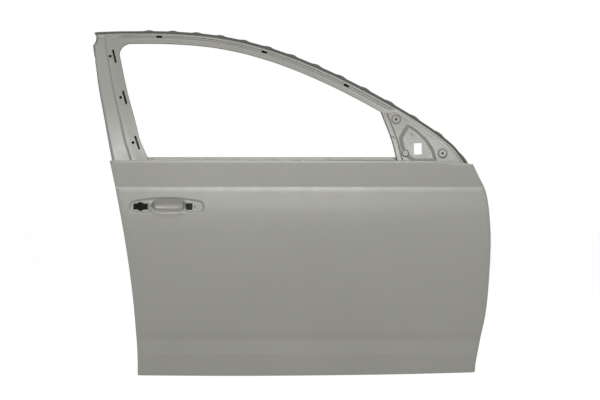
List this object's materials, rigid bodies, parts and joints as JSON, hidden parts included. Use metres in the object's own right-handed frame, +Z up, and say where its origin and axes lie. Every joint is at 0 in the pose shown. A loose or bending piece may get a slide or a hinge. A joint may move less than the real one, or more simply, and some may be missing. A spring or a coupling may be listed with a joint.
{
  "type": "car door shell",
  "caption": "Bare pressed-steel shell of a right-hand front car door, with outer skin, inner panel, window frame, mirror corner, glass channels and impact beam.",
  "frame": {"origin": "centre of the upper hinge's seat, on the outside of the inner panel's front wall", "axes": "+X towards the car's front, +Y towards the cabin, +Z up; the skin faces -Y"},
  "size_m": [1.213, 0.2098, 1.0546],
  "materials": {
    "grey_primer": "satin grey primer",
    "bare_steel": "zinc-coated weld nuts",
    "mastic": "matt black mastic"
  },
  "bodies": {
    "root": {"beam_bracket_front": "grey_primer", "beam_bracket_rear": "grey_primer", "belt_reinforcement_inner": "grey_primer", "belt_reinforcement_outer": "grey_primer", "check_nut_1": "bare_steel", "check_nut_2": "bare_steel", "check_reinforcement": "grey_primer", "glass_channel_front": "grey_primer", "glass_channel_rear": "grey_primer", "handle_bracket": "grey_primer", "hinge_nut_1": "bare_steel", "hinge_nut_2": "bare_steel", "hinge_nut_3": "bare_steel", "hinge_nut_4": "bare_steel", "hinge_reinforcement_lower": "grey_primer", "hinge_reinforcement_upper": "grey_primer", "impact_beam": "grey_primer", "inner_panel": "grey_primer", "latch_reinforcement": "grey_primer", "mastic_pad_1": "mastic", "mastic_pad_2": "mastic", "mastic_pad_3": "mastic", "mastic_pad_4": "mastic", "mirror_nut_1": "bare_steel", "mirror_nut_2": "bare_steel", "mirror_nut_3": "bare_steel", "mirror_reinforcement": "grey_primer", "outer_panel": "grey_primer", "window_frame_inner": "grey_primer", "window_frame_outer": "grey_primer"}
  },
  "joints": []
}
